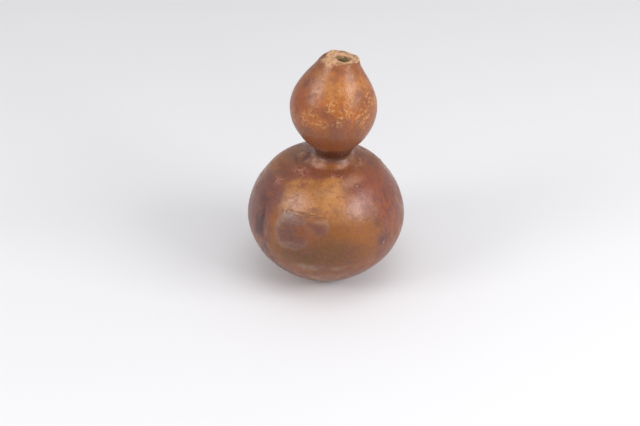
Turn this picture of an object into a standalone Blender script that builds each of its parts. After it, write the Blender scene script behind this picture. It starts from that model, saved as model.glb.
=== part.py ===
"""Dried bottle gourd: one hollow rind with two lobes and a waist, its stem end cut off.

Metres, +Z up. The origin is on the table, under the middle of the lower lobe. +X is to the right and
-Y is towards the viewer.
"""
import math

import bmesh
import bpy
import numpy as np
from mathutils import Vector

PART = "bottle_gourd"

# Outer outline from the stem down to the flat spot: height above the table, radius about the axis
OUTLINE = (
    (0.1820, 0.0000),
    (0.1790, 0.0062),
    (0.1720, 0.0108),
    (0.1640, 0.0154),
    (0.1550, 0.0216),
    (0.1450, 0.0271),
    (0.1350, 0.0297),
    (0.1240, 0.0286),
    (0.1120, 0.0226),
    (0.1040, 0.0158),
    (0.0980, 0.0128),
    (0.0944, 0.0156),
    (0.0906, 0.0252),
    (0.0850, 0.0368),
    (0.0760, 0.0448),
    (0.0640, 0.0517),
    (0.0460, 0.0554),
    (0.0280, 0.0502),
    (0.0140, 0.0387),
    (0.0084, 0.0314),
    (0.0044, 0.0240),
    (0.0015, 0.0165),
    (0.0000, 0.0110),
)

# Where the axis runs: height above the table, shift to the right
AXIS = (
    (0.000, 0.0000),
    (0.058, 0.0000),
    (0.072, 0.0000),
    (0.084, 0.0006),
    (0.091, 0.0026),
    (0.098, 0.0050),
    (0.110, 0.0052),
    (0.127, 0.0050),
    (0.148, 0.0052),
    (0.164, 0.0073),
    (0.172, 0.0098),
    (0.190, 0.0160),
)

DEPTH_RATIO = 0.985

# Thickness of the rind, which is greater where the stem begins, and the heights of that change
WALL = 0.0040
STEM_WALL = 0.0062
STEM_START = 0.148
STEM_END = 0.164

# The hollow of the stem, which opens at the mouth and lies right of the axis there
THROAT_RADIUS = 0.0048
THROAT_SHIFT = 0.0024
THROAT_TOP = 0.190

# The cut through the stem: a point on it, and how far it falls to the right and to the back
MOUTH_POINT = (0.0103, 0.0, 0.1713)
MOUTH_FALL_RIGHT = math.radians(12.0)
MOUTH_FALL_BACK = math.radians(10.0)
MOUTH_BLOCK = 0.060

OUTER_SEGMENTS = 56
INNER_SEGMENTS = 40
SPAN_POINTS = 2
FINE_SPAN_POINTS = 12
MERGE = 0.000001
SHARP_ANGLE = math.radians(35.0)

RIND_COLOUR = (0.30, 0.105, 0.035, 1.0)
RIND_ROUGHNESS = 0.42


def clear_scene():
    for obj in list(bpy.data.objects):
        bpy.data.objects.remove(obj, do_unlink=True)


def new_collection(name):
    collection = bpy.data.collections.new(name)
    bpy.context.scene.collection.children.link(collection)
    return collection


def smooth_path(points, per_span):
    """Centripetal Catmull-Rom curve through the points, with per_span steps between two of them."""
    points = np.array(points, dtype=float)
    ends = (2 * points[0] - points[1], 2 * points[-1] - points[-2])
    knots = np.vstack((ends[0], points, ends[1]))
    path = []
    for a, b, c, d in zip(knots, knots[1:], knots[2:], knots[3:]):
        t1 = math.dist(a, b) ** 0.5
        t2 = t1 + math.dist(b, c) ** 0.5
        t3 = t2 + math.dist(c, d) ** 0.5
        for step in range(per_span):
            t = t1 + (t2 - t1) * step / per_span
            ab = a + (b - a) * t / t1
            bc = b + (c - b) * (t - t1) / (t2 - t1)
            cd = c + (d - c) * (t - t2) / (t3 - t2)
            abc = ab + (bc - ab) * t / t2
            bcd = bc + (cd - bc) * (t - t1) / (t3 - t1)
            path.append(abc + (bcd - abc) * (t - t1) / (t2 - t1))
    path.append(points[-1])
    return np.array(path)


def stem_share(height):
    """Smooth step from 0 in the upper lobe to 1 in the stem."""
    t = np.clip((height - STEM_START) / (STEM_END - STEM_START), 0.0, 1.0)
    return t * t * (3.0 - 2.0 * t)


def inner_outline():
    """The outer outline moved in by the wall, with a straight throat at the top and a closed bottom."""
    outer = smooth_path(OUTLINE, FINE_SPAN_POINTS)
    run = np.gradient(outer, axis=0)
    inwards = np.column_stack((-run[:, 1], run[:, 0])) / np.hypot(*run.T)[:, None]
    wall = WALL + (STEM_WALL - WALL) * stem_share(outer[:, 0])
    inner = (outer + inwards * wall[:, None])[:: FINE_SPAN_POINTS // SPAN_POINTS]
    height, radius = inner.T
    inner = inner[(height < STEM_END) & (radius > THROAT_RADIUS)]
    throat = ((THROAT_TOP, 0.0), (THROAT_TOP, THROAT_RADIUS), (STEM_END + WALL, THROAT_RADIUS))
    return np.vstack((throat, inner, (WALL, 0.0)))


def axis_shift(height, bend):
    """How far right the axis is at a height, with the throat's own shift as bend."""
    heights, shifts = smooth_path(AXIS, FINE_SPAN_POINTS).T
    return float(np.interp(height, heights, shifts)) + bend * float(stem_share(height))


def turned_mesh(name, path, segments):
    """Mesh of a profile of heights and radii, turned about Z with a Screw modifier."""
    mesh = bpy.data.meshes.new(name)
    edges = [(i, i + 1) for i in range(len(path) - 1)]
    mesh.from_pydata([(radius, 0.0, height) for height, radius in path], edges, [])
    profile = bpy.data.objects.new(name + "_profile", mesh)
    bpy.context.scene.collection.objects.link(profile)
    screw = profile.modifiers.new("Turn", "SCREW")
    screw.axis = "Z"
    screw.steps = segments
    screw.render_steps = segments
    screw.use_merge_vertices = True
    screw.merge_threshold = MERGE
    depsgraph = bpy.context.evaluated_depsgraph_get()
    turned = bpy.data.meshes.new_from_object(profile.evaluated_get(depsgraph))
    bpy.data.objects.remove(profile, do_unlink=True)
    weld(turned)
    return turned


def weld(mesh):
    """Close the two poles of a turned mesh."""
    bm = bmesh.new()
    bm.from_mesh(mesh)
    bmesh.ops.remove_doubles(bm, verts=bm.verts, dist=MERGE)
    bm.to_mesh(mesh)
    bm.free()


def grow_askew(mesh, bend):
    """Bend a turned mesh along the gourd's axis and make it a little less deep than wide."""
    for vertex in mesh.vertices:
        vertex.co.x += axis_shift(vertex.co.z, bend)
        vertex.co.y *= DEPTH_RATIO


def add_object(name, mesh, collection):
    obj = bpy.data.objects.new(name, mesh)
    collection.objects.link(obj)
    return obj


def make_cavity(collection):
    """Cutter for the hollow inside, from the lower lobe's floor out through the stem."""
    mesh = turned_mesh("cavity", inner_outline(), INNER_SEGMENTS)
    grow_askew(mesh, THROAT_SHIFT)
    mesh.shade_smooth()
    return add_object("cavity", mesh, collection)


def make_mouth_cut(collection):
    """Cutter block above the sloping cut through the stem."""
    bm = bmesh.new()
    bmesh.ops.create_cube(bm, size=MOUTH_BLOCK)
    mesh = bpy.data.meshes.new("mouth_cut")
    bm.to_mesh(mesh)
    bm.free()
    block = add_object("mouth_cut", mesh, collection)
    normal = Vector((math.tan(MOUTH_FALL_RIGHT), math.tan(MOUTH_FALL_BACK), 1.0)).normalized()
    block.rotation_euler = Vector((0.0, 0.0, 1.0)).rotation_difference(normal).to_euler()
    block.location = Vector(MOUTH_POINT) + normal * MOUTH_BLOCK / 2.0
    return block


def as_cutter(obj):
    obj.hide_render = True
    obj.display_type = "WIRE"


def rind_material():
    material = bpy.data.materials.new("dried_rind")
    material.use_nodes = True
    shader = material.node_tree.nodes["Principled BSDF"]
    shader.inputs["Base Color"].default_value = RIND_COLOUR
    shader.inputs["Roughness"].default_value = RIND_ROUGHNESS
    shader.inputs["Metallic"].default_value = 0.0
    return material


def make_gourd(parts, cutters):
    """The rind: the turned and bent outer form, less the hollow and what was cut off the stem."""
    outline = np.vstack((smooth_path(OUTLINE, SPAN_POINTS), (0.0, 0.0)))
    mesh = turned_mesh("gourd", outline, OUTER_SEGMENTS)
    grow_askew(mesh, 0.0)
    mesh.materials.append(rind_material())
    mesh.shade_smooth()
    mesh.set_sharp_from_angle(angle=SHARP_ANGLE)
    gourd = add_object("gourd", mesh, parts)
    for cutter in (make_cavity(cutters), make_mouth_cut(cutters)):
        as_cutter(cutter)
        cut = gourd.modifiers.new(cutter.name, "BOOLEAN")
        cut.operation = "DIFFERENCE"
        cut.object = cutter
    return gourd


def main():
    clear_scene()
    make_gourd(new_collection(PART), new_collection("cutters"))


main()
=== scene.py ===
"""Looks of a dried bottle gourd: the polished skin with its stains and warts, the torn rim of the cut
stem and the dry lining, in a plain pale studio. Lengths are in metres, or in mm where a name or a comment
says so.
"""

import math

import bpy
import numpy as np
from bpy.props import FloatProperty, FloatVectorProperty, IntProperty, PointerProperty
from mathutils import Matrix, Vector


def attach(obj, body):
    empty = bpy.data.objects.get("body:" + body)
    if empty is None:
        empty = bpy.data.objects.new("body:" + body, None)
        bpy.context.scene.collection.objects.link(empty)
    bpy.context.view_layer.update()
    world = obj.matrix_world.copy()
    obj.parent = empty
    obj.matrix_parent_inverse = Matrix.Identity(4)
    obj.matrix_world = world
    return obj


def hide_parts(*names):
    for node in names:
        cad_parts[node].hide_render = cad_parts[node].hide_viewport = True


bl_info = {
    "name": "Dried bottle gourd",
    "version": (1, 0, 0),
    "blender": (4, 5, 0),
    "location": "3D View > Sidebar > Gourd",
    "description": "Makes the rind of a dried bottle gourd and a plain studio around it",
    "category": "Object",
}

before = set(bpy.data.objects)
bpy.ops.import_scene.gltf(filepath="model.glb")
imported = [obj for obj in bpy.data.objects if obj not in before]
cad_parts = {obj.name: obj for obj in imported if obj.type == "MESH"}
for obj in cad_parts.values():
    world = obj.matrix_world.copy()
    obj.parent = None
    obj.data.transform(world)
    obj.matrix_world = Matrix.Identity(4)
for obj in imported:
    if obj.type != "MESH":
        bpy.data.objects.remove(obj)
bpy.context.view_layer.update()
NODE = "gourd"
BODY = "root"
MM = 0.001

# Outer outline from the stem down to the flat spot: height above the table, radius about the axis
OUTLINE = (
    (0.1820, 0.0000),
    (0.1790, 0.0062),
    (0.1720, 0.0108),
    (0.1640, 0.0154),
    (0.1550, 0.0216),
    (0.1450, 0.0271),
    (0.1350, 0.0297),
    (0.1240, 0.0286),
    (0.1120, 0.0226),
    (0.1040, 0.0158),
    (0.0980, 0.0128),
    (0.0944, 0.0156),
    (0.0906, 0.0252),
    (0.0850, 0.0368),
    (0.0760, 0.0448),
    (0.0640, 0.0517),
    (0.0460, 0.0554),
    (0.0280, 0.0502),
    (0.0140, 0.0387),
    (0.0084, 0.0314),
    (0.0044, 0.0240),
    (0.0015, 0.0165),
    (0.0000, 0.0110),
)

# Where the axis runs: height above the table, shift to the right
AXIS = (
    (0.000, 0.0000),
    (0.058, 0.0000),
    (0.072, 0.0000),
    (0.084, 0.0006),
    (0.091, 0.0026),
    (0.098, 0.0050),
    (0.110, 0.0052),
    (0.127, 0.0050),
    (0.148, 0.0052),
    (0.164, 0.0073),
    (0.172, 0.0098),
    (0.190, 0.0160),
)

DEPTH_RATIO = 0.985
WALL = 0.0040
STEM_WALL = 0.0062
STEM_START = 0.148
STEM_END = 0.164
THROAT_RADIUS = 0.0048
THROAT_SHIFT = 0.0024
THROAT_FLARE = 0.0022
FLARE_START = 0.163
FLARE_LEFT = 0.0014
FLARE_FRONT = 0.0024
MOUTH_SIDE = 0.0103
MOUTH_HEIGHT = 0.1713
MOUTH_FALL_RIGHT = math.radians(12.0)
MOUTH_FALL_BACK = math.radians(10.0)

# Where the throat's straight part ends, where the mouth's slope and the taper that goes with it begin, how
# far up the skin the relief fades out towards the flat spot, and the rings across the cut
THROAT_FOOT = 0.1650
SLOPE_START = 0.155
TAPER_START = 0.150
FOOT_HEIGHT = 0.010
CUT_RINGS = 9

# Grains of the torn edge, and the small warts and dents all over the skin: spacing, most in a square metre,
# least and greatest radius, least and greatest rise
TORN_WIDTH = 0.0035
SMALL_SPACING = 0.009
SMALL_DENSITY = 9000.0
SMALL_SIZE = (0.0014, 0.0026)
SMALL_RISE = (-0.00008, 0.0002)

FINE_STEPS = 60
MERGE = 0.000001

# Soft lights: name, azimuth and elevation in degrees, distance, width and height
LIGHTS = (
    ("left", -61, 28, 1.2, 0.5, 0.4),
    ("right", 62, 28, 1.2, 0.8, 0.4),
    ("top", 20, 75, 1.4, 1.0, 1.0),
)

# Half the width of the floor, the height that the lights and the camera face, and how far the camera looks to
# the left of that and below it, which puts the gourd where the photograph has it
FLOOR_HALF = 9.0
AIM_HEIGHT = 0.08
LOOK_LEFT = 0.00415
LOOK_DOWN = 0.02865

# Marks on the skin are placed by their azimuth in degrees, 0 towards the viewer and growing to the right,
# and by their height above the table in mm.

# Warts, and one dent: azimuth, height, radius in mm, rise in mm, which is below zero for the dent
WARTS = (
    (-98.5, 92.9, 5.0, 1.8),
    (-67.0, 93.0, 2.4, 0.4),
    (-50.0, 91.7, 2.2, 0.4),
    (-43.5, 90.0, 2.4, 0.45),
    (-55.0, 90.4, 2.0, 0.3),
    (-62.5, 84.0, 2.6, 0.4),
    (4.0, 91.0, 2.2, 0.35),
    (18.5, 90.5, 2.4, 0.35),
    (35.0, 86.3, 2.3, 0.35),
    (44.0, 96.4, 1.7, 0.4),
    (82.0, 92.3, 2.4, 0.5),
    (32.5, 92.7, 1.5, 0.3),
    (46.0, 46.6, 2.6, -0.25),
    (30.0, 135.3, 1.8, 0.3),
    (150.0, 88.0, 2.6, 0.6),
    (172.0, 70.0, 2.2, 0.4),
    (-140.0, 62.0, 2.6, 0.5),
    (-162.0, 84.0, 2.0, 0.5),
    (115.0, 80.0, 2.0, 0.45),
)

# Places where the rim has broken away: azimuth, height, radius in mm, how far it has sunk in mm
CHIPS = (
    (-102.0, 174.2, 8.8, 3.6),
    (-44.0, 172.6, 4.0, 0.9),
    (8.0, 173.4, 7.0, 1.3),
    (66.0, 170.5, 3.6, 0.8),
    (140.0, 170.0, 4.0, 0.7),
)

# The long crease down the left side of the lower lobe: azimuth, height
CREASE = (
    (-56.0, 66.0),
    (-55.0, 61.3),
    (-53.5, 51.0),
    (-49.5, 41.5),
    (-45.0, 32.5),
    (-42.0, 24.0),
    (-40.0, 17.0),
)

# Stains, with some painted highlights and painted shade among them, in the order that they lie on each other:
# tone, azimuth, height, half width and half height in mm, turn in degrees, softness of the edge (0 to 1),
# strength
STAINS = (
    ("ochre", 8, 54, 36, 27, 0, 0.3, 0.9),
    ("ochre", -37, 46, 11, 20, 0, 0.4, 0.8),
    ("ochre", 178, 50, 36, 26, 0, 0.5, 0.6),
    ("orange", 27, 57, 13, 11, 0, 0.6, 0.7),
    ("orange", -44, 66, 4, 7, 0, 0.6, 0.6),
    ("orange", -170, 60, 14, 12, 0, 0.6, 0.5),
    ("olive", 3, 46, 22, 13, 0, 0.8, 0.75),
    ("olive", -22, 44, 15, 8, 0, 0.8, 0.6),
    ("olive", 160, 40, 18, 9, 0, 0.7, 0.5),
    ("chestnut", 24, 33, 20, 8, 0, 0.6, 0.45),
    # The light ochre patch: partly the skin's own lighter patch, partly painted sheen of the lights
    ("light_ochre", -14, 85.2, 25, 11.0, 3, 0.25, 0.8),
    ("light_ochre", 7, 85.2, 11.5, 12.5, 0, 0.14, 0.9),
    ("light_ochre", -24, 76, 18, 6, 0, 0.6, 0.6),
    ("ochre", -8, 85, 4, 7, 10, 0.7, 0.45),
    ("orange", -22, 87, 7, 3, 10, 0.8, 0.4),
    ("tan", -30, 80, 5, 6, 0, 0.8, 0.4),
    ("light_ochre", 2, 73, 16, 5, 0, 0.7, 0.55),
    # Painted highlight: the sheen of the right and the left light on the lower lobe
    ("pink", 25, 77, 7, 6, 0, 0.7, 0.6),
    ("pink", -27, 79, 8, 6, 0, 0.8, 0.5),
    ("plum", -70, 76, 16, 11, 10, 0.4, 0.85),
    ("plum", -49, 80, 5.5, 7, 0, 0.6, 0.6),
    ("plum", -74, 56, 15, 20, -12, 0.5, 0.8),
    ("dark_plum", -59, 55, 4.4, 13, -4, 0.35, 0.95),
    ("dark_plum", -52.5, 38, 3.2, 9, -16, 0.4, 0.9),
    ("dark_plum", -63, 71, 4.5, 4.5, 0, 0.6, 0.6),
    ("tan", -100, 85, 15, 4.5, 12, 0.5, 0.8),
    ("tan", -125, 75, 12, 8, 10, 0.6, 0.6),
    ("tan", -88, 84.5, 14, 3.2, 14, 0.6, 0.5),
    ("orange", -96, 86.5, 18, 5, 12, 0.7, 0.75),
    ("chestnut", -82, 88, 12, 2.4, 14, 0.5, 0.85),
    ("plum", -71, 86.5, 8, 3, 20, 0.5, 0.7),
    ("red_brown", -46, 90.6, 12, 3.0, 6, 0.5, 0.65),
    ("red_brown", -22, 92.6, 8, 1.5, 6, 0.5, 0.7),
    # Round the big wart on the left shoulder: painted shade around and below it, and a painted highlight on
    # its top
    ("dark_plum", -97, 95.2, 3.4, 1.3, 0, 0.5, 0.9),
    ("dark_plum", -90, 91.2, 6, 1.2, 8, 0.6, 0.7),
    ("tan", -99, 93.2, 3.2, 1.6, 0, 0.4, 0.8),
    ("chestnut", 30, 92, 24, 2.6, 0, 0.6, 0.6),
    ("red_brown", 58, 80, 26, 14, -12, 0.5, 0.75),
    ("red_brown", 60, 64, 12, 15, 0, 0.5, 0.6),
    ("plum", 76, 64, 14, 24, 0, 0.6, 0.7),
    ("plum", 22, 86, 4, 5, 0, 0.6, 0.6),
    ("plum", 47, 47, 7, 11, 0, 0.6, 0.7),
    ("dark_plum", 45, 47.5, 2.2, 3.2, 0, 0.5, 0.6),
    ("dark_plum", 42, 63, 3.5, 2.5, 0, 0.7, 0.5),
    ("chestnut", 66, 36, 16, 14, 0, 0.6, 0.5),
    ("plum", 100, 70, 18, 22, 0, 0.6, 0.5),
    ("veil", -27, 61, 13.4, 13.6, 8, 0.14, 0.7),
    ("veil", -6, 65.6, 7.6, 6.4, 0, 0.2, 0.55),
    ("blotch", -26, 58.4, 11.0, 9.6, 0, 0.22, 0.85),
    ("dark_plum", -25, 57.5, 6.5, 6.0, 0, 0.8, 0.4),
    ("chestnut", -13, 63, 10.0, 7.0, 0, 0.4, 0.7),
    ("blotch", -26, 69.8, 7, 4.0, 0, 0.45, 0.7),
    ("blotch", -9, 67.0, 4.8, 2.8, -20, 0.6, 0.7),
    ("blotch", -4, 64.0, 4.0, 4.2, 30, 0.6, 0.75),
    ("blotch", -12, 72, 9, 1.6, 4, 0.7, 0.5),
    ("veil", -11.5, 34.2, 9, 2.6, 0, 0.8, 0.7),
    ("veil", 9, 34.6, 5, 1.6, 0, 0.8, 0.6),
    ("veil", -30, 52, 9, 1.2, 10, 0.7, 0.4),
    ("veil", -51, 50, 0.9, 11, -7, 0.7, 0.5),
    ("blotch", -150, 70, 12, 8, 20, 0.4, 0.7),
    ("light_ochre", 140, 78, 16, 9, 0, 0.4, 0.6),
    ("blotch", 120, 45, 7, 9, 0, 0.4, 0.7),
    ("dark_plum", 165, 66, 3, 12, 10, 0.6, 0.5),
    ("amber", 0, 146, 40, 26, 0, 0.5, 0.9),
    ("amber", 180, 142, 40, 26, 0, 0.5, 0.7),
    ("light_amber", 2, 157, 10, 6, 0, 0.7, 0.6),
    ("light_amber", 60, 156, 8, 6, 0, 0.7, 0.5),
    ("light_amber", -32, 164, 7, 6, 0, 0.7, 0.5),
    ("chestnut", -5, 122, 34, 8, 0, 0.6, 0.75),
    ("chestnut", 5, 113, 34, 7, 0, 0.6, 0.8),
    ("chestnut", 170, 118, 34, 9, 0, 0.6, 0.7),
    ("plum", -56, 157.5, 4.5, 5, -20, 0.7, 0.6),
    ("plum", -48, 167, 5, 2.6, -20, 0.8, 0.35),
    ("plum", -20, 168.5, 5, 1.2, -10, 0.7, 0.5),
    ("chestnut", 2, 134, 8, 7, 0, 0.7, 0.65),
    ("plum", 3, 127, 4, 7, 0, 0.7, 0.45),
    ("chestnut", -16, 142, 7, 4, 0, 0.7, 0.5),
    ("chestnut", -40, 146, 5, 5, 0, 0.8, 0.4),
    ("chestnut", 42, 148, 7, 6, 0, 0.8, 0.4),
    ("chestnut", 56, 143, 7, 9, 0, 0.8, 0.45),
    # Painted highlight on the left of the upper lobe
    ("pink", -40, 157, 6, 7, 0, 0.8, 0.45),
    ("plum", 36, 135, 2.6, 1.8, 0, 0.6, 0.7),
    ("red_brown", -62, 142, 9, 12, 0, 0.7, 0.55),
    ("light_amber", 8, 155.6, 1.8, 2.0, 0, 0.6, 0.7),
    # The big wart again: painted shade round it and a painted highlight on its top
    ("dark_plum", -93, 93.6, 7.5, 4.0, 0, 0.4, 0.9),
    ("bare", -99, 92.9, 4.0, 2.4, 0, 0.3, 0.6),
    # Painted highlight on the right shoulder and under the waist
    ("pink", 33, 88.6, 8, 3.5, 0, 0.8, 0.45),
    ("pink", -44, 94.4, 8.0, 3.2, 0, 0.6, 0.95),
    ("pink", -70, 95.6, 6.0, 2.2, 0, 0.7, 0.6),
    ("pink", 26, 94.3, 7.0, 2.2, 0, 0.5, 0.65),
    ("tan", 66, 98.0, 4.5, 4.5, 0, 0.6, 0.85),
    ("orange", -1, 94.2, 4.5, 1.8, 0, 0.6, 0.9),
    ("bare", -44, 172.4, 6.8, 2.8, 6, 0.2, 1.0),
    ("bare", -32, 170.2, 2.6, 2.8, 15, 0.3, 0.95),
    ("bare", -76, 173.2, 4.0, 1.6, 0, 0.4, 0.8),
    ("bare", 16, 172.4, 5.0, 0.6, 0, 0.5, 0.6),
)

# Clusters of scaly flecks on the upper lobe: azimuth, height, half width and half height in mm
FLECKS = (
    (-6, 147.5, 4, 5),
    (26, 149, 4.5, 5),
    (19, 144.5, 5, 4),
    (14, 139.5, 4, 3),
    (-31, 140, 3.5, 2.5),
    (-43, 135, 4, 5),
    (-19, 134, 5, 3.5),
    (4, 135, 4, 2.5),
    (44, 137, 6, 7),
    (-64, 133, 4, 5),
    (60, 146, 5, 7),
    (90, 140, 8, 8),
    (140, 140, 10, 8),
    (-120, 146, 10, 8),
    (-165, 134, 10, 6),
)

# Wrinkled places round the warts: azimuth, height, half width and half height in mm
WRINKLES = (
    (-52, 90.6, 9, 3.6),
    (-66, 93.2, 3, 2),
    (-62, 84, 4, 3.4),
    (5, 91.4, 5, 1.4),
    (18, 90.8, 4, 1.4),
    (-98, 92.8, 4, 2),
    (66, 92, 6, 2),
    (150, 87, 7, 4),
    (-150, 84, 8, 4),
)

# Cracks in the skin: azimuth, height, half length and half width in mm, turn in degrees
CRACKS = (
    (-25, 74.0, 6.5, 0.24, 3),
    (-13, 73.2, 6.0, 0.22, -7),
    (-4, 72.4, 3.0, 0.20, 4),
    (-20, 71.9, 3.0, 0.18, 22),
)

# The band that a net of finer cracks fills: azimuth, height, half width and half height in mm, turn, softness
CRACK_BAND = (-17, 73.0, 17, 2.6, -3, 0.5)

# The streaked right side: azimuth, height, half width and half height in mm, turn, softness
STREAKED_SIDE = (66, 62, 24, 26, 0, 0.5)

# Heights where the painted shade in the waist begins and is full, from above and from below
WAIST_SHADE_FROM_ABOVE = (0.113, 0.1025)
WAIST_SHADE_FROM_BELOW = (0.0945, 0.0985)

# Steps that the trees repeat: the node, its settings, the inputs that the values go to in order, the output.
# Any other step is an operation of a Math node.
STEPS = {
    "noise": ("ShaderNodeTexNoise", {}, ("Vector", "Scale", "Detail", "Roughness"), 0),
    "colour_noise": ("ShaderNodeTexNoise", {}, ("Vector", "Scale", "Detail", "Roughness"), 1),
    "spread": (
        "ShaderNodeMapRange", {"interpolation_type": "SMOOTHSTEP"},
        ("Value", "From Min", "From Max", "To Min", "To Max"), 0,
    ),
    "over": ("ShaderNodeMix", {"data_type": "RGBA"}, ("A", "B", "Factor"), "Result"),
    "shaded": (
        "ShaderNodeMix", {"data_type": "RGBA", "blend_type": "MULTIPLY"}, ("A", "B", "Factor"), "Result"
    ),
    "vector_subtract": ("ShaderNodeVectorMath", {"operation": "SUBTRACT"}, (0, 1), 0),
    "vector_multiply": ("ShaderNodeVectorMath", {"operation": "MULTIPLY"}, (0, 1), 0),
    "vector_multiply_add": ("ShaderNodeVectorMath", {"operation": "MULTIPLY_ADD"}, (0, 1, 2), 0),
    "dot_product": ("ShaderNodeVectorMath", {"operation": "DOT_PRODUCT"}, (0, 1), "Value"),
    "distance": ("ShaderNodeVectorMath", {"operation": "DISTANCE"}, (0, 1), "Value"),
    "length": ("ShaderNodeVectorMath", {"operation": "LENGTH"}, (0,), "Value"),
    "vector_of": ("ShaderNodeCombineXYZ", {}, (0, 1, 2), 0),
    "height_of": ("ShaderNodeSeparateXYZ", {}, (0,), "Z"),
    "value_named": ("GeometryNodeInputNamedAttribute", {"data_type": "FLOAT"}, ("Name",), "Attribute"),
    "stored": (
        "GeometryNodeStoreNamedAttribute", {"data_type": "FLOAT", "domain": "POINT"},
        ("Geometry", "Name", "Value"), 0,
    ),
    "number_at": ("GeometryNodeSampleIndex", {"data_type": "FLOAT"}, ("Geometry", "Value", "Index"), 0),
    "vector_at": (
        "GeometryNodeSampleIndex", {"data_type": "FLOAT_VECTOR"}, ("Geometry", "Value", "Index"), 0
    ),
}


def linear(hex_colour):
    """An sRGB hex value such as "#a06030" as linear RGBA."""
    values = [int(hex_colour[i:i + 2], 16) / 255.0 for i in (1, 3, 5)]
    return (*[v / 12.92 if v <= 0.04045 else ((v + 0.055) / 1.055) ** 2.4 for v in values], 1.0)


def add(tree, kind, inputs=None, **settings):
    """Add a node of a kind to a tree, with its settings, and a value or a link for each input named."""
    node = tree.nodes.new(kind)
    for name, value in settings.items():
        setattr(node, name, value)
    for key, value in (inputs or {}).items():
        if isinstance(value, bpy.types.NodeSocket):
            tree.links.new(value, node.inputs[key])
        else:
            node.inputs[key].default_value = value
    return node


def out(tree, step, *values):
    """The output of one more step in the tree, worked out from the values."""
    kind, settings, keys, output = STEPS.get(step, ("ShaderNodeMath", {"operation": step}, (0, 1, 2), 0))
    return add(tree, kind, dict(zip(keys, values)), **settings).outputs[output]


def chained(tree, step, values):
    """The values joined one after another by a step."""
    joined = values[0]
    for value in values[1:]:
        joined = out(tree, step, joined, value)
    return joined


def layered(tree, colour, layers):
    """The colour with tones laid over it in order, each by its share."""
    for tone, share in layers:
        colour = out(tree, "over", colour, tone, share)
    return colour


def scale_for(width_mm):
    """Scale of a noise whose grains are width_mm across."""
    return 1.0 / (width_mm * MM)


def colour_property(name, description, hex_colour):
    return FloatVectorProperty(
        name=name, description=description, subtype="COLOR", size=4, min=0.0, max=1.0,
        default=linear(hex_colour),
    )


def length_property(name, description, length):
    return FloatProperty(name=name, description=description, default=length, unit="LENGTH")


def power_property(side, power):
    return FloatProperty(
        name=f"{side} light", description=f"Power of the {side.lower()} light", default=power, unit="POWER"
    )


class GourdShape(bpy.types.PropertyGroup):
    """Sizes of the rind."""

    segments: IntProperty(name="Segments", description="Faces around the rind", default=288, min=32)
    ring_spacing: length_property("Ring spacing", "Distance between two rings on the skin", 0.00115)
    lining_spacing: length_property("Lining spacing", "Distance between two rings inside", 0.0040)
    swell: length_property("Swell", "Height of the broad unevenness that it grew with", 0.0007)
    swell_width: length_property("Swell width", "Distance across one broad swell", 0.030)
    dimple: length_property("Dimples", "Height of the finer unevenness left by drying", 0.00028)
    dimple_width: length_property("Dimple width", "Distance across one dimple", 0.009)
    torn_edge: length_property("Torn edge", "Roughness of the torn rim and cut", 0.0017)
    crease_depth: length_property("Crease depth", "Depth of the crease on the left", 0.0003)
    crease_width: length_property("Crease width", "Half the width of that crease", 0.0028)
    seed: IntProperty(name="Seed", description="Draw of the unevenness and the small warts", default=4)


class GourdColours(bpy.types.PropertyGroup):
    """Colours of the rind."""

    skin: colour_property("Skin", "The polished skin where nothing stains it", "#8c5234")
    ochre: colour_property("Ochre", "Front of the lower lobe", "#8d5829")
    orange: colour_property("Orange", "Warmer parts of that front", "#9e5d24")
    olive: colour_property("Olive", "Dull middle of that front", "#5e3d1e")
    # On the front, the light ochre patch is partly the skin's own lighter patch and partly painted sheen of
    # the lights
    light_ochre: colour_property("Light ochre", "The light patch on the front", "#bd8149")
    tan: colour_property("Tan", "Light band on the left shoulder", "#9c6d50")
    # Pink is mostly painted highlight: the sheen of the lights on both lobes, under the waist and on the
    # warts' tops; it is also the pinkish flakes of the torn rind and the light lines of the folds
    pink: colour_property("Pink", "Worn skin under the waist", "#c9977f")
    amber: colour_property("Amber", "Front of the upper lobe", "#b5672d")
    light_amber: colour_property("Light amber", "Top of the upper lobe", "#c98848")
    chestnut: colour_property("Chestnut", "Brown shoulders and the foot of the upper lobe", "#844a2a")
    red_brown: colour_property("Red brown", "Right shoulder", "#8d4532")
    plum: colour_property("Plum", "The purple-brown side", "#744640")
    # Dark plum is the skin's own dark staining by the crease and elsewhere; round the warts and the big wart
    # by the waist it is painted shade
    dark_plum: colour_property("Dark plum", "Dark stains by the crease and the waist", "#4d3034")
    blotch: colour_property("Blotch", "Round stains left by mould", "#70463c")
    veil: colour_property("Veil", "Greyish bloom round the stains", "#9a7d6e")
    fleck: colour_property("Fleck", "Scaly yellow flecks", "#d3995c")
    # The crack tone is dirt in the cracks and pits and the dark grains of the lining; along the crease it is
    # painted shade
    crack: colour_property("Crack", "Dirt in the cracks and the crease", "#4a2c2a")
    # The waist tone is painted shade: a dark band laid where the upper lobe overhangs the narrow waist
    waist: colour_property("Waist", "Dirt in the waist", "#4a2619")
    bare: colour_property("Bare rind", "Bare rind at the mouth", "#d9a97f")
    lining: colour_property("Lining", "Dry lining", "#a89068")


class GourdStudio(bpy.types.PropertyGroup):
    """Light, floor and camera."""

    floor: colour_property("Floor", "Plain pale floor", "#ebeaec")
    sky: FloatProperty(name="Sky", description="Strength of the even light", default=0.56, min=0.0)
    left_power: power_property("Left", 4.6)
    right_power: power_property("Right", 8.4)
    top_power: power_property("Top", 4.0)
    elevation: FloatProperty(
        name="Elevation", description="Height of the camera over the gourd", default=math.radians(32.0),
        subtype="ANGLE", unit="ROTATION",
    )
    distance: length_property("Distance", "Camera to gourd", 1.15)
    lens: FloatProperty(name="Lens", description="Focal length in mm on a 36 mm sensor", default=92.5)


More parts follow.
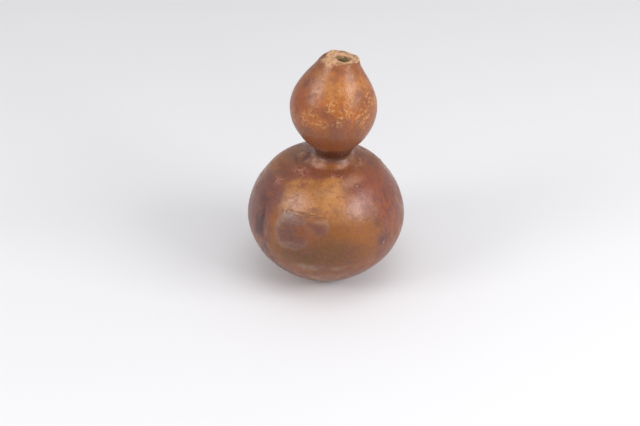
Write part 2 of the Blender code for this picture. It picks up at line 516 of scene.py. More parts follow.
def smooth_path(points, per_span):
    """Centripetal Catmull-Rom curve through the points, with per_span steps between two of them."""
    points = np.array(points, dtype=float)
    ends = (2 * points[0] - points[1], 2 * points[-1] - points[-2])
    knots = np.vstack((ends[0], points, ends[1]))
    path = []
    for a, b, c, d in zip(knots, knots[1:], knots[2:], knots[3:]):
        t1 = math.dist(a, b) ** 0.5
        t2 = t1 + math.dist(b, c) ** 0.5
        t3 = t2 + math.dist(c, d) ** 0.5
        for step in range(per_span):
            t = t1 + (t2 - t1) * step / per_span
            ab = a + (b - a) * t / t1
            bc = b + (c - b) * (t - t1) / (t2 - t1)
            cd = c + (d - c) * (t - t2) / (t3 - t2)
            abc = ab + (bc - ab) * t / t2
            bcd = bc + (cd - bc) * (t - t1) / (t3 - t1)
            path.append(abc + (bcd - abc) * (t - t1) / (t2 - t1))
    path.append(points[-1])
    return np.array(path)


def evenly(path, spacing):
    """The path again, with points about spacing apart."""
    steps = np.hypot(*np.diff(path, axis=0).T)
    along = np.concatenate(((0.0,), np.cumsum(steps)))
    marks = np.linspace(0.0, along[-1], max(2, round(along[-1] / spacing) + 1))
    return np.column_stack([np.interp(marks, along, path[:, axis]) for axis in (0, 1)])


OUTER = smooth_path(OUTLINE, FINE_STEPS)
RISING = OUTER[::-1]
SLOPE = np.gradient(RISING[:, 1]) / (np.gradient(RISING[:, 0]) + 1e-12)
AXIS_PATH = smooth_path(AXIS, FINE_STEPS)


def smooth_step(value, low, high):
    t = np.clip((value - low) / (high - low), 0.0, 1.0)
    return t * t * (3.0 - 2.0 * t)


def axis_shift(height):
    return np.interp(height, AXIS_PATH[:, 0], AXIS_PATH[:, 1])


def skin_frame(azimuth, height_mm):
    """Point on the skin and its axes: to the right, inwards and up along the skin."""
    height = height_mm * MM
    radius = float(np.interp(height, RISING[:, 0], RISING[:, 1]))
    slope = float(np.interp(height, RISING[:, 0], SLOPE))
    a = math.radians(azimuth)
    outward = Vector((math.sin(a), -math.cos(a), 0.0))
    right = Vector((math.cos(a), math.sin(a), 0.0))
    up = (Vector((0.0, 0.0, 1.0)) + outward * slope).normalized()
    point = outward * radius + Vector((float(axis_shift(height)), 0.0, height))
    point.y *= DEPTH_RATIO
    return point, right, up.cross(right), up


def rind_rings(ring_spacing, lining_spacing):
    """Rings of the rind from the middle of the flat spot up the skin, over the cut stem and down the lining
    to its floor. Gives their heights and radii, and columns of how far each leans to the right and to the
    front, its share of the mouth's slope, its taper and its zone: 0 skin, 1 cut, 2 lining."""
    flat_spot = evenly(np.array(((0.0, 0.0), (0.0, OUTLINE[-1][1]))), ring_spacing)[:-1]
    skin = np.vstack((flat_spot, evenly(RISING[RISING[:, 0] < MOUTH_HEIGHT - 0.0004], ring_spacing)))
    rim_radius = float(np.interp(MOUTH_HEIGHT, RISING[:, 0], RISING[:, 1]))
    mouth_radius = THROAT_RADIUS + THROAT_FLARE
    cut = np.array(
        [(MOUTH_HEIGHT - 0.00012, rim_radius - 0.0001)]
        + [(MOUTH_HEIGHT, r) for r in np.linspace(rim_radius - 0.0006, mouth_radius + 0.0005, CUT_RINGS)]
        + [(MOUTH_HEIGHT - 0.0002, mouth_radius)]
    )
    run = np.gradient(OUTER, axis=0)
    inwards = np.column_stack((-run[:, 1], run[:, 0])) / np.hypot(*run.T)[:, None]
    wall = WALL + (STEM_WALL - WALL) * smooth_step(OUTER[:, 0], STEM_START, STEM_END)
    inner = OUTER + inwards * wall[:, None]
    inner = inner[(inner[:, 0] < STEM_END) & (inner[:, 1] > THROAT_RADIUS)]
    throat = np.array(
        ((MOUTH_HEIGHT - 0.0008, THROAT_RADIUS + 0.9 * THROAT_FLARE), (THROAT_FOOT, THROAT_RADIUS))
    )
    inside = np.vstack((throat[-1:], inner, (WALL, 0.0)))
    lining = np.vstack((evenly(throat, 0.0008)[:-1], evenly(inside, lining_spacing)))
    rings = np.vstack((skin, cut, lining))
    zone = np.repeat((0.0, 1.0, 2.0), (len(skin), len(cut), len(lining)))
    inner_share = np.clip((rim_radius - rings[:, 1]) / (rim_radius - THROAT_RADIUS), 0.0, 1.0)
    inner_share = np.where(zone == 2, 1.0, np.where(zone == 1, inner_share, 0.0))
    flare = smooth_step(rings[:, 0], FLARE_START, MOUTH_HEIGHT)
    bend = THROAT_SHIFT * smooth_step(rings[:, 0], STEM_START, STEM_END) - FLARE_LEFT * flare
    taper = np.interp(rings[:, 0], RISING[:, 0], SLOPE) * (1.0 - inner_share)
    columns = {
        "lean": axis_shift(rings[:, 0]) + bend * inner_share,
        "front": FLARE_FRONT * flare * inner_share,
        "rise": smooth_step(rings[:, 0], SLOPE_START, MOUTH_HEIGHT - 0.002),
        "taper": np.where(rings[:, 0] > TAPER_START, taper, 0.0),
        "zone": zone,
    }
    return rings, columns


def mesh_with_values(name, points, edges, columns):
    """A mesh of points and edges with a number of each kind for every point."""
    mesh = bpy.data.meshes.new(name)
    mesh.from_pydata([tuple(map(float, p)) for p in points], edges, [])
    for key, values in columns.items():
        column = mesh.attributes.new(key, "FLOAT", "POINT")
        column.data.foreach_set("value", np.asarray(values, dtype=np.float32))
    return mesh


def in_scene(name, data):
    piece = bpy.data.objects.new(name, data)
    bpy.context.scene.collection.objects.link(piece)
    return piece


def as_plain_mesh(piece, tree, values):
    """Run a tree on the piece, with the values that its sockets ask for by name, and keep what it makes as
    the piece's own mesh."""
    modifier = piece.modifiers.new(tree.name, "NODES")
    modifier.node_group = tree
    for socket in tree.interface.items_tree:
        if socket.in_out == "INPUT" and socket.name in values:
            modifier[socket.identifier] = values[socket.name]
    depsgraph = bpy.context.evaluated_depsgraph_get()
    made = bpy.data.meshes.new_from_object(piece.evaluated_get(depsgraph), depsgraph=depsgraph)
    piece.modifiers.clear()
    rough = piece.data
    piece.data = made
    bpy.data.meshes.remove(rough)
    made.name = piece.name
    if not made.polygons:
        raise RuntimeError(f"{tree.name} made no faces for {piece.name}")


def turned_rind(tree, given):
    """Nodes that turn the profile into the closed rind, with the mouth's slope. Gives its geometry."""
    profile = given["Geometry"]
    rings = add(tree, "GeometryNodeAttributeDomainSize", {"Geometry": profile}).outputs["Point Count"]
    columns = add(tree, "FunctionNodeIntegerMath", {0: given["Segments"], 1: 1}, operation="ADD").outputs[0]
    grid = add(tree, "GeometryNodeMeshGrid", {"Vertices X": rings, "Vertices Y": columns})
    index = add(tree, "GeometryNodeInputIndex").outputs[0]
    ring = add(tree, "FunctionNodeIntegerMath", {0: index, 1: columns}, operation="DIVIDE_FLOOR").outputs[0]
    turn = add(tree, "FunctionNodeIntegerMath", {0: index, 1: columns}, operation="MODULO").outputs[0]
    angle = out(tree, "MULTIPLY", out(tree, "DIVIDE", turn, given["Segments"]), math.tau)

    at = {}
    for key in ("lean", "front", "rise", "taper", "zone"):
        at[key] = out(tree, "number_at", profile, out(tree, "value_named", key), ring)
    place = out(tree, "vector_at", profile, add(tree, "GeometryNodeInputPosition").outputs[0], ring)
    place = add(tree, "ShaderNodeSeparateXYZ", {0: place}).outputs

    to_viewer = chained(tree, "MULTIPLY", (out(tree, "COSINE", angle), given["Depth ratio"], -1.0))
    around = out(tree, "vector_of", out(tree, "SINE", angle), to_viewer)
    shift_back = out(tree, "MULTIPLY", at["front"], -1.0)
    aside = out(tree, "vector_of", at["lean"], shift_back)
    level = out(tree, "vector_multiply_add", around, place[0], aside)
    off_mouth = out(tree, "vector_subtract", level, given["Mouth centre"])
    fall = out(tree, "dot_product", off_mouth, given["Mouth fall"])
    lift = chained(tree, "MULTIPLY", (fall, at["rise"], -1.0))
    radius = out(tree, "MULTIPLY_ADD", at["taper"], lift, place[0])
    height = out(tree, "ADD", place[2], lift)
    base = out(tree, "vector_of", at["lean"], shift_back, height)
    position = out(tree, "vector_multiply_add", around, radius, base)

    zoned = out(tree, "stored", grid.outputs["Mesh"], "zone", at["zone"])
    placed = add(tree, "GeometryNodeSetPosition", {"Geometry": zoned, "Position": position}).outputs[0]
    closed = add(tree, "GeometryNodeMergeByDistance", {"Geometry": placed, "Distance": MERGE}).outputs[0]
    outward = add(tree, "GeometryNodeFlipFaces", {"Mesh": closed}).outputs[0]
    return add(tree, "GeometryNodeSetShadeSmooth", {"Geometry": outward, "Shade Smooth": True}).outputs[0]


def bumps(tree, points, size, rise, position):
    """Round bumps at the points, each with its size and rise: how high they stand, and their share."""
    nearest = add(
        tree, "GeometryNodeSampleNearest", {"Geometry": points, "Sample Position": position}
    ).outputs[0]
    own = add(tree, "GeometryNodeInputPosition").outputs[0]
    centre = out(tree, "vector_at", points, own, nearest)
    reach, height = (out(tree, "number_at", points, value, nearest) for value in (size, rise))
    away = out(tree, "distance", position, centre)
    share = out(tree, "spread", away, 0.0, reach, 1.0, 0.0)
    return out(tree, "MULTIPLY", share, height), share


def unevenness(tree, position, seed, width, height, detail):
    """Noise about width across that moves the surface in and out by half the height."""
    scale = out(tree, "DIVIDE", 1.0, width)
    noise = add(
        tree, "ShaderNodeTexNoise", {"Vector": position, "W": seed, "Scale": scale, "Detail": detail},
        noise_dimensions="4D",
    ).outputs[0]
    centred = out(tree, "SUBTRACT", noise, 0.5)
    return out(tree, "MULTIPLY", centred, height)


def stained(tree, rind, colours):
    """Nodes that lay the stains on the rind, with some painted highlights and painted shade among them. The
    skin's material
    reads them as attributes: the colour, the share of the clusters of flecks, and the dull and the wrinkled
    places."""
    position = add(tree, "GeometryNodeInputPosition").outputs[0]
    ragged = shifted(tree, shifted(tree, position, 11.0, 3.6), 2.6, 1.1)
    broad = out(tree, "noise", position, scale_for(24.0), 3.0, 0.5)
    colour = out(tree, "over", colours.skin, colours.plum, out(tree, "spread", broad, 0.45, 0.7))
    colour = out(tree, "over", colour, colours.ochre, out(tree, "spread", broad, 0.48, 0.3))
    for tone, *mark, strength in STAINS:
        share = out(tree, "MULTIPLY", spot(tree, ragged, *mark), strength)
        colour = out(tree, "over", colour, getattr(colours, tone), share)
    cluster = marked(tree, ragged, [(*mark, 0, 0.8) for mark in FLECKS])
    dull = marked(tree, ragged, [mark for tone, *mark, _ in STAINS if tone == "bare"])
    wrinkled = marked(tree, ragged, [(*mark, 0, 0.7) for mark in WRINKLES])
    rind = add(
        tree, "GeometryNodeStoreNamedAttribute", {"Geometry": rind, "Name": "stain", "Value": colour},
        data_type="FLOAT_VECTOR", domain="POINT",
    ).outputs[0]
    for name, value in (("cluster", cluster), ("dull", dull), ("wrinkled", wrinkled)):
        rind = out(tree, "stored", rind, name, value)
    return rind


def rind_relief(tree, rind, given):
    """Nodes that work out the rind's relief: swells, dimples, warts, the crease, the torn edge and the broken
    places in the rim. Gives the geometry with that relief, and with the attributes that the skin reads."""
    position = add(tree, "GeometryNodeInputPosition").outputs[0]
    height = out(tree, "height_of", position)
    zone = out(tree, "value_named", "zone")
    on_skin = add(tree, "FunctionNodeCompare", {"A": zone, "B": 0.5}, operation="LESS_THAN").outputs[0]
    seed = given["Seed"]
    swell = unevenness(tree, position, seed, given["Swell width"], given["Swell"], 1.0)
    dimple = unevenness(tree, position, seed, given["Dimple width"], given["Dimple"], 2.0)
    torn = unevenness(tree, position, seed, TORN_WIDTH, given["Torn edge"], 3.0)

    placed = add(tree, "GeometryNodeObjectInfo", {"Object": given["Warts"]}).outputs["Geometry"]
    size, rise = (out(tree, "value_named", key) for key in ("size", "rise"))
    wart, wart_share = bumps(tree, placed, size, rise, position)
    scattered = add(
        tree, "GeometryNodeDistributePointsOnFaces",
        {
            "Mesh": rind, "Selection": on_skin, "Distance Min": SMALL_SPACING, "Density Max": SMALL_DENSITY,
            "Seed": seed,
        },
        distribute_method="POISSON",
    ).outputs["Points"]
    small_size, small_rise = (
        add(
            tree, "FunctionNodeRandomValue", {"Min": least, "Max": greatest, "Seed": seed}, data_type="FLOAT"
        ).outputs[1]
        for least, greatest in (SMALL_SIZE, SMALL_RISE)
    )
    small, _ = bumps(tree, scattered, small_size, small_rise, position)

    crease_line = add(tree, "GeometryNodeObjectInfo", {"Object": given["Crease"]}).outputs["Geometry"]
    away = add(
        tree, "GeometryNodeProximity", {0: crease_line, "Sample Position": position}, target_element="EDGES"
    ).outputs["Distance"]
    crease = out(tree, "spread", away, 0.0, given["Crease width"], 1.0, 0.0)
    groove = out(tree, "MULTIPLY", crease, given["Crease depth"])
    skin_relief = out(tree, "SUBTRACT", chained(tree, "ADD", (swell, dimple, wart, small)), groove)
    relief = add(
        tree, "GeometryNodeSwitch", {"Switch": on_skin, "False": torn, "True": skin_relief},
        input_type="FLOAT",
    ).outputs[0]
    foot = out(tree, "spread", height, 0.001, given["Foot"])
    relief = out(tree, "MULTIPLY", relief, foot)

    kept = rind
    for name, value in (("wart", wart_share), ("crease", crease), ("relief", relief)):
        kept = out(tree, "stored", kept, name, value)
    stored = out(tree, "value_named", "relief")
    normal = add(tree, "GeometryNodeInputNormal").outputs[0]
    sunk = 0.0
    crooked = shifted(tree, position, 3.5, 1.2)
    for azimuth, high, reach, drop in CHIPS:
        centre = skin_frame(azimuth, high)[0]
        away = out(tree, "distance", crooked, centre)
        chip = out(tree, "spread", away, reach * MM, 0.15 * reach * MM, 0.0, -drop * MM)
        sunk = out(tree, "ADD", sunk, chip)
    sunk = add(tree, "ShaderNodeCombineXYZ", {"Z": sunk}).outputs[0]
    offset = out(tree, "vector_multiply_add", normal, stored, sunk)
    return add(tree, "GeometryNodeSetPosition", {"Geometry": kept, "Offset": offset}).outputs[0]


def rind_tree(colours):
    """The tree that grows the rind from its profile and stains it."""
    tree = bpy.data.node_groups.new("Grown rind", "GeometryNodeTree")
    for kind, names in (
        ("Geometry", ("Geometry",)),
        ("Int", ("Segments", "Seed")),
        ("Float", ("Depth ratio", "Swell", "Swell width", "Dimple", "Dimple width", "Torn edge")),
        ("Float", ("Crease depth", "Crease width", "Foot")),
        ("Vector", ("Mouth centre", "Mouth fall")),
        ("Object", ("Warts", "Crease")),
        ("Material", ("Skin", "Cut rind", "Lining")),
    ):
        for name in names:
            tree.interface.new_socket(name=name, in_out="INPUT", socket_type="NodeSocket" + kind)
    tree.interface.new_socket(name="Geometry", in_out="OUTPUT", socket_type="NodeSocketGeometry")
    given = add(tree, "NodeGroupInput").outputs
    rind = rind_relief(tree, stained(tree, turned_rind(tree, given), colours), given)
    zone = out(tree, "value_named", "zone")
    rind = add(tree, "GeometryNodeRealizeInstances", {"Geometry": rind}).outputs[0]
    rind = add(tree, "GeometryNodeSetMaterial", {"Geometry": rind, "Material": given["Skin"]}).outputs[0]
    for edge, material in ((0.4, "Cut rind"), (1.6, "Lining")):
        past = add(tree, "FunctionNodeCompare", {"A": zone, "B": edge}, operation="GREATER_THAN").outputs[0]
        rind = add(
            tree, "GeometryNodeSetMaterial",
            {"Geometry": rind, "Selection": past, "Material": given[material]},
        ).outputs[0]
    add(tree, "NodeGroupOutput", {"Geometry": rind})
    return tree


def new_material(name, inputs):
    """A material of that name, with its tree and its shader."""
    material = bpy.data.materials.new(name)
    material.use_nodes = True
    tree = material.node_tree
    tree.nodes.clear()
    shader = add(tree, "ShaderNodeBsdfPrincipled", inputs)
    add(tree, "ShaderNodeOutputMaterial", {"Surface": shader.outputs[0]})
    return material, tree, shader


def spot(tree, place, azimuth, height_mm, half_width, half_height, turn, softness):
    """Share of an oval mark on the skin: 1 inside it, 0 outside. Sizes in mm."""
    point, right, inward, up = skin_frame(azimuth, height_mm)
    axes = Matrix((right, inward, up)).transposed() @ Matrix.Rotation(math.radians(-turn), 3, "Y")
    off = out(tree, "vector_subtract", place, point)
    half_depth = 0.7 * max(half_width, half_height) + 6.0
    sizes = (half_width, half_depth, half_height)
    parts = [out(tree, "dot_product", off, axis / (size * MM)) for axis, size in zip(axes.col, sizes)]
    away = out(tree, "length", out(tree, "vector_of", *parts))
    return out(tree, "spread", away, 1.0 - softness, 1.0 + softness, 1.0, 0.0)


def shifted(tree, place, width_mm, reach_mm):
    """The place, shifted about by a noise, so that the marks laid on it get ragged edges."""
    colour = out(tree, "colour_noise", place, scale_for(width_mm), 3.0, 0.6)
    centred = out(tree, "vector_subtract", colour, (0.5, 0.5, 0.5))
    return out(tree, "vector_multiply_add", centred, (2 * reach_mm * MM,) * 3, place)


def marked(tree, place, marks):
    """Share of the surface that any of the marks covers. Each is azimuth, height, half width, half height,
    turn and softness."""
    return chained(tree, "MAXIMUM", [spot(tree, place, *mark) for mark in marks])


def curls(tree, place, width_mm, half_line):
    """Thin curled lines, width_mm apart: where a noise is near its middle value."""
    value = out(tree, "noise", place, scale_for(width_mm), 2.0, 0.5)
    off = out(tree, "SUBTRACT", value, 0.5)
    off = out(tree, "ABSOLUTE", off)
    return out(tree, "spread", off, half_line, 0.3 * half_line)


def polished_skin(colours):
    """Dried gourd skin, scraped, darkened by smoke and handling, and polished: a satin gloss that breaks
    up over mottled stains, with scaly flecks and fine cracks. Painted shade is laid in the waist, along the
    crease and round the warts, and painted highlights on the warts' tops."""
    material, tree, shader = new_material("Polished dried gourd skin", {"IOR": 1.46})
    place = add(tree, "ShaderNodeTexCoord").outputs["Object"]
    height = out(tree, "height_of", place)
    ragged = shifted(tree, place, 2.6, 1.1)
    cloud = out(tree, "noise", place, scale_for(8.0), 5.0, 0.62)
    patch = out(tree, "noise", ragged, scale_for(4.5), 4.0, 0.6)
    grain = out(tree, "noise", place, scale_for(1.9), 4.0, 0.65)
    stain, *shares = (
        add(tree, "ShaderNodeAttribute", attribute_name=name).outputs
        for name in ("stain", "cluster", "dull", "wrinkled", "crease", "wart")
    )
    cluster, dull, wrinkled, crease, wart = (share["Fac"] for share in shares)

    # The stains, mottling of 8, 5 and 2 mm in duller and warmer patches, and faint streaks up the right side
    colour = layered(tree, stain["Color"], (
        (colours.plum, out(tree, "spread", cloud, 0.51, 0.66, 0.0, 0.5)),
        (colours.orange, out(tree, "spread", cloud, 0.46, 0.3, 0.0, 0.4)),
        (colours.chestnut, out(tree, "spread", patch, 0.52, 0.62, 0.0, 0.45)),
        (colours.ochre, out(tree, "spread", patch, 0.46, 0.34, 0.0, 0.3)),
        (colours.chestnut, out(tree, "spread", grain, 0.52, 0.64, 0.0, 0.3)),
    ))
    streak = out(tree, "vector_multiply", ragged, (1.0, 1.0, 0.22))
    streak = out(tree, "noise", streak, scale_for(3.0), 2.0, 0.5)
    side = spot(tree, place, *STREAKED_SIDE)
    colour = layered(tree, colour, (
        (colours.orange, chained(tree, "MULTIPLY", (out(tree, "spread", streak, 0.52, 0.62), side, 0.3))),
        (colours.dark_plum, chained(tree, "MULTIPLY", (out(tree, "spread", streak, 0.44, 0.36), side, 0.4))),
    ))

    # Scaly flecks: small grains and thin curled lines
    scales = out(tree, "noise", shifted(tree, place, 2.0, 1.0), scale_for(2.0), 3.0, 0.65)
    scales = out(tree, "MULTIPLY_ADD", cluster, 0.13, scales)
    lines = curls(tree, shifted(tree, place, 3.0, 1.2), 4.5, 0.045)
    lines = out(tree, "MULTIPLY", lines, out(tree, "spread", patch, 0.44, 0.54))
    flecks = out(tree, "MAXIMUM", out(tree, "spread", scales, 0.67, 0.72), lines)
    flecks = out(tree, "MULTIPLY", flecks, out(tree, "spread", cluster, 0.05, 0.6))
    colour = out(tree, "over", colour, colours.fleck, out(tree, "MULTIPLY", flecks, 0.68))

    # Cracks, painted shade along the crease, the warts with a painted highlight on top and painted shade
    # round their foot, and the wrinkled places
    crooked = shifted(tree, place, 5.0, 1.8)
    dirt = marked(tree, crooked, [(*mark, 0.8) for mark in CRACKS])
    flattened = out(tree, "vector_multiply", crooked, (1.0, 1.0, 2.4))
    net = out(tree, "MULTIPLY", curls(tree, flattened, 6.0, 0.022), spot(tree, place, *CRACK_BAND))
    dirt = out(tree, "MAXIMUM", dirt, net)
    # Painted shade along the crease: the crack tone laid over the groove, strongest at its line
    groove = (out(tree, "spread", crease, 0.1, 1.0), out(tree, "spread", patch, 0.35, 0.55), 0.6)
    # Painted shade: a dark ring round the foot of each wart
    ring = (out(tree, "spread", wart, 0.0, 0.3), out(tree, "spread", patch, 0.4, 0.6), 0.3)
    folds = out(tree, "MULTIPLY", curls(tree, shifted(tree, place, 2.5, 1.0), 3.4, 0.05), wrinkled)
    colour = layered(tree, colour, (
        (colours.crack, out(tree, "MULTIPLY", dirt, 0.7)),
        (colours.crack, chained(tree, "MULTIPLY", groove)),
        (colours.dark_plum, chained(tree, "MULTIPLY", ring)),
        # Painted highlight: pink on the tops of the warts
        (colours.pink, out(tree, "MULTIPLY", out(tree, "spread", wart, 0.35, 0.9), 0.5)),
        (colours.red_brown, out(tree, "MULTIPLY", wrinkled, 0.4)),
        (colours.pink, out(tree, "MULTIPLY", folds, 0.45)),
    ))

    # Pits in the bare places, and painted shade in the waist
    pits = chained(tree, "MULTIPLY", (out(tree, "spread", grain, 0.54, 0.62), dull, 0.6))
    colour = out(tree, "over", colour, colours.crack, pits)
    # Painted shade: the waist tone laid in a band round the waist, broken up a little by the cloud noise
    waist = (
        out(tree, "spread", height, *WAIST_SHADE_FROM_ABOVE),
        out(tree, "spread", height, *WAIST_SHADE_FROM_BELOW),
        out(tree, "spread", cloud, 0.2, 0.6, 0.75, 1.0),
        0.88,
    )
    colour = out(tree, "over", colour, colours.waist, chained(tree, "MULTIPLY", waist))
    mottle = out(tree, "spread", grain, 0.3, 0.7, 0.82, 1.0)
    tree.links.new(out(tree, "shaded", colour, mottle, 1.0), shader.inputs["Base Color"])

    # Handling has polished it unevenly, and the bare and scaly places are dull
    unpolished = out(tree, "spread", patch, 0.35, 0.65, -0.05, 0.06)
    rough = out(tree, "ADD", out(tree, "spread", cloud, 0.3, 0.7, 0.26, 0.40), unpolished)
    for value, share in ((flecks, 0.12), (dull, 0.45)):
        rough = out(tree, "MULTIPLY_ADD", value, share, rough)
    tree.links.new(rough, shader.inputs["Roughness"])

    # Pores of 1 to 2 mm, shallow dents of 4 mm, raised scales and folds, and open cracks
    pores = out(tree, "noise", place, scale_for(0.9), 2.0, 0.55)
    relief = grain
    for value, share in ((patch, 2.0), (pores, 0.4), (flecks, 0.5), (folds, 0.8), (dirt, -1.0)):
        relief = out(tree, "MULTIPLY_ADD", value, share, relief)
    bump = add(tree, "ShaderNodeBump", {"Strength": 0.55, "Distance": 0.00025, "Height": relief})
    tree.links.new(bump.outputs[0], shader.inputs["Normal"])
    return material


def torn_rind(colours):
    """Bare gourd rind where the stem was cut and the skin chipped off: pale, dry and fibrous."""
    material, tree, shader = new_material("Cut and torn dry rind", {"Roughness": 0.85, "IOR": 1.45})
    place = add(tree, "ShaderNodeTexCoord").outputs["Object"]
    fibre = out(tree, "noise", place, scale_for(1.6), 5.0, 0.7)
    pit = out(tree, "noise", place, scale_for(2.2), 3.0, 0.6)
    flake = out(tree, "noise", shifted(tree, place, 3.0, 1.5), scale_for(5.0), 3.0, 0.6)
    colour = layered(tree, colours.lining, (
        (colours.bare, out(tree, "spread", fibre, 0.35, 0.6)),
        (colours.pink, out(tree, "spread", flake, 0.47, 0.55, 0.0, 0.8)),
        (colours.chestnut, out(tree, "spread", flake, 0.44, 0.38, 0.0, 0.6)),
        (colours.crack, out(tree, "spread", pit, 0.57, 0.64, 0.0, 0.85)),
    ))
    tree.links.new(colour, shader.inputs["Base Color"])
    bump = add(tree, "ShaderNodeBump", {"Strength": 0.8, "Distance": 0.0006, "Height": fibre})
    tree.links.new(bump.outputs[0], shader.inputs["Normal"])
    return material


def dry_lining(colours):
    """The dry lining inside, scraped and left rough: tan and matt, darker in its hollows."""
    material, tree, shader = new_material("Dry gourd lining", {"Roughness": 0.9, "IOR": 1.45})
    place = add(tree, "ShaderNodeTexCoord").outputs["Object"]
    height = out(tree, "height_of", place)
    fibre = out(tree, "noise", place, scale_for(2.0), 5.0, 0.7)
    colour = out(tree, "over", colours.crack, colours.lining, out(tree, "spread", fibre, 0.3, 0.55))
    colour = out(tree, "over", colour, colours.bare, out(tree, "spread", height, 0.164, 0.172, 0.0, 0.5))
    tree.links.new(colour, shader.inputs["Base Color"])
    bump = add(tree, "ShaderNodeBump", {"Strength": 0.8, "Distance": 0.0008, "Height": fibre})
    tree.links.new(bump.outputs[0], shader.inputs["Normal"])
    return material


def wart_points():
    places = [skin_frame(azimuth, high)[0] for azimuth, high, _, _ in WARTS]
    sizes = {"size": [w[2] * MM for w in WARTS], "rise": [w[3] * MM for w in WARTS]}
    return in_scene("wart_points", mesh_with_values("wart_points", places, [], sizes))


def crease_line():
    path = smooth_path(CREASE, 6)
    places = [skin_frame(azimuth, high)[0] for azimuth, high in path]
    edges = [(i, i + 1) for i in range(len(places) - 1)]
    return in_scene("crease_line", mesh_with_values("crease_line", places, edges, {}))


class GOURD_OT_rind(bpy.types.Operator):
    """Make the dried rind in place of the plain solid."""

    bl_idname = "gourd.rind"
    bl_label = "Rind"

    def execute(self, context):
        shape = context.scene.gourd_shape
        colours = context.scene.gourd_colours
        rings, columns = rind_rings(shape.ring_spacing, shape.lining_spacing)
        points = [(radius, 0.0, height) for height, radius in rings]
        edges = [(i, i + 1) for i in range(len(points) - 1)]
        rind = in_scene("gourd_rind", mesh_with_values("rind_profile", points, edges, columns))
        warts = wart_points()
        crease = crease_line()
        tree = rind_tree(colours)
        sizes = {key.replace("_", " ").capitalize(): getattr(shape, key) for key in shape.__annotations__}
        as_plain_mesh(rind, tree, {
            **sizes,
            "Depth ratio": DEPTH_RATIO,
            "Mouth centre": (MOUTH_SIDE, 0.0, 0.0),
            "Mouth fall": (math.tan(MOUTH_FALL_RIGHT), math.tan(MOUTH_FALL_BACK), 0.0),
            "Foot": FOOT_HEIGHT,
            "Warts": warts,
            "Crease": crease,
            "Skin": polished_skin(colours),
            "Cut rind": torn_rind(colours),
            "Lining": dry_lining(colours),
        })
        for guide in (warts, crease):
            guide_mesh = guide.data
            bpy.data.objects.remove(guide)
            bpy.data.meshes.remove(guide_mesh)
        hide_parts(NODE)
        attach(rind, BODY)
        return {"FINISHED"}


def pale_floor(colours):
    """Matt paint, rolled on: even and pale, so that only the gourd's shadow shows."""
    material, tree, shader = new_material("Matt pale paint", {"Roughness": 0.9, "IOR": 1.45})
    place = add(tree, "ShaderNodeTexCoord").outputs["Object"]
    cloud = out(tree, "noise", place, scale_for(400.0), 2.0, 0.55)
    colour = out(tree, "shaded", colours.floor, out(tree, "spread", cloud, 0.3, 0.7, 0.98, 1.0), 1.0)
    tree.links.new(colour, shader.inputs["Base Color"])
    return material


def soft_light(name, azimuth, elevation, distance, width, height, power):
    """A large soft light that faces the gourd."""
    light = bpy.data.lights.new(name, "AREA")
    light.shape = "RECTANGLE"
    light.size, light.size_y = width, height
    light.energy = power
    lamp = in_scene(name, light)
    a, e = math.radians(azimuth), math.radians(elevation)
    lamp.location = Vector((math.sin(a) * math.cos(e), -math.cos(a) * math.cos(e), math.sin(e))) * distance
    lamp.location.z += AIM_HEIGHT
    lamp.rotation_euler = (Vector((0, 0, AIM_HEIGHT)) - lamp.location).to_track_quat("-Z", "Y").to_euler()


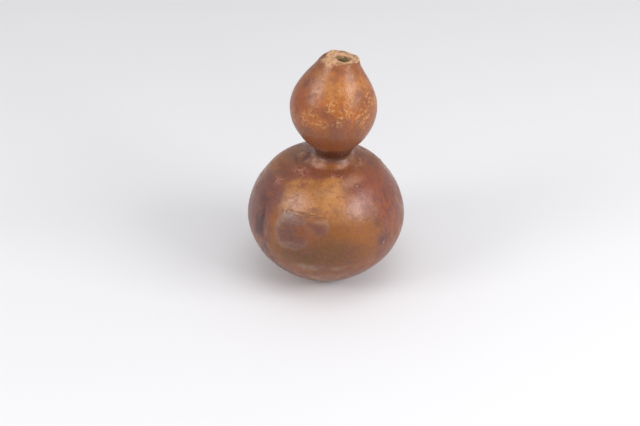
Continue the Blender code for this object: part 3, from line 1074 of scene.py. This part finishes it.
class GOURD_OT_studio(bpy.types.Operator):
    """Make the pale floor, the soft lights and the camera."""

    bl_idname = "gourd.studio"
    bl_label = "Studio"

    def execute(self, context):
        studio = context.scene.gourd_studio
        mesh = bpy.data.meshes.new("floor")
        corners = [(x * FLOOR_HALF, y * FLOOR_HALF, 0) for x, y in ((-1, -1), (1, -1), (1, 1), (-1, 1))]
        mesh.from_pydata(corners, [], [(0, 1, 2, 3)])
        mesh.materials.append(pale_floor(studio))
        in_scene("floor", mesh)
        world = bpy.data.worlds.new("Even light")
        world.use_nodes = True
        background = world.node_tree.nodes["Background"]
        background.inputs["Color"].default_value = (0.98, 0.99, 1.0, 1.0)
        background.inputs["Strength"].default_value = studio.sky
        context.scene.world = world
        for side, *placing in LIGHTS:
            soft_light(f"{side}_light", *placing, getattr(studio, f"{side}_power"))
        camera = bpy.data.cameras.new("camera")
        camera.lens = studio.lens
        camera.sensor_width = 36.0
        camera.clip_start = 0.01
        view = in_scene("camera", camera)
        aim = Vector((0.0, 0.0, AIM_HEIGHT))
        sine, cosine = math.sin(studio.elevation), math.cos(studio.elevation)
        view.location = aim + Vector((0.0, -cosine, sine)) * studio.distance
        target = aim - Vector((LOOK_LEFT, sine * LOOK_DOWN, cosine * LOOK_DOWN))
        view.rotation_euler = (target - view.location).to_track_quat("-Z", "Y").to_euler()
        context.scene.camera = view
        context.scene.view_settings.view_transform = "Standard"
        return {"FINISHED"}


class GOURD_PT_panel(bpy.types.Panel):
    """Lists what can be made and its values."""

    bl_idname = "GOURD_PT_panel"
    bl_label = "Dried bottle gourd"
    bl_space_type = "VIEW_3D"
    bl_region_type = "UI"
    bl_category = "Gourd"

    def draw(self, context):
        for group, operator in (
            (context.scene.gourd_shape, "gourd.rind"),
            (context.scene.gourd_colours, None),
            (context.scene.gourd_studio, "gourd.studio"),
        ):
            box = self.layout.box()
            for key in group.__annotations__:
                box.prop(group, key)
            if operator:
                box.operator(operator)


CLASSES = (GourdShape, GourdColours, GourdStudio, GOURD_OT_rind, GOURD_OT_studio, GOURD_PT_panel)


def register():
    for cls in CLASSES:
        bpy.utils.register_class(cls)
    bpy.types.Scene.gourd_shape = PointerProperty(type=GourdShape)
    bpy.types.Scene.gourd_colours = PointerProperty(type=GourdColours)
    bpy.types.Scene.gourd_studio = PointerProperty(type=GourdStudio)


def unregister():
    for name in ("gourd_shape", "gourd_colours", "gourd_studio"):
        delattr(bpy.types.Scene, name)
    for cls in reversed(CLASSES):
        bpy.utils.unregister_class(cls)


def main():
    register()
    bpy.ops.gourd.rind()
    bpy.ops.gourd.studio()


if __name__ == "__main__":
    main()
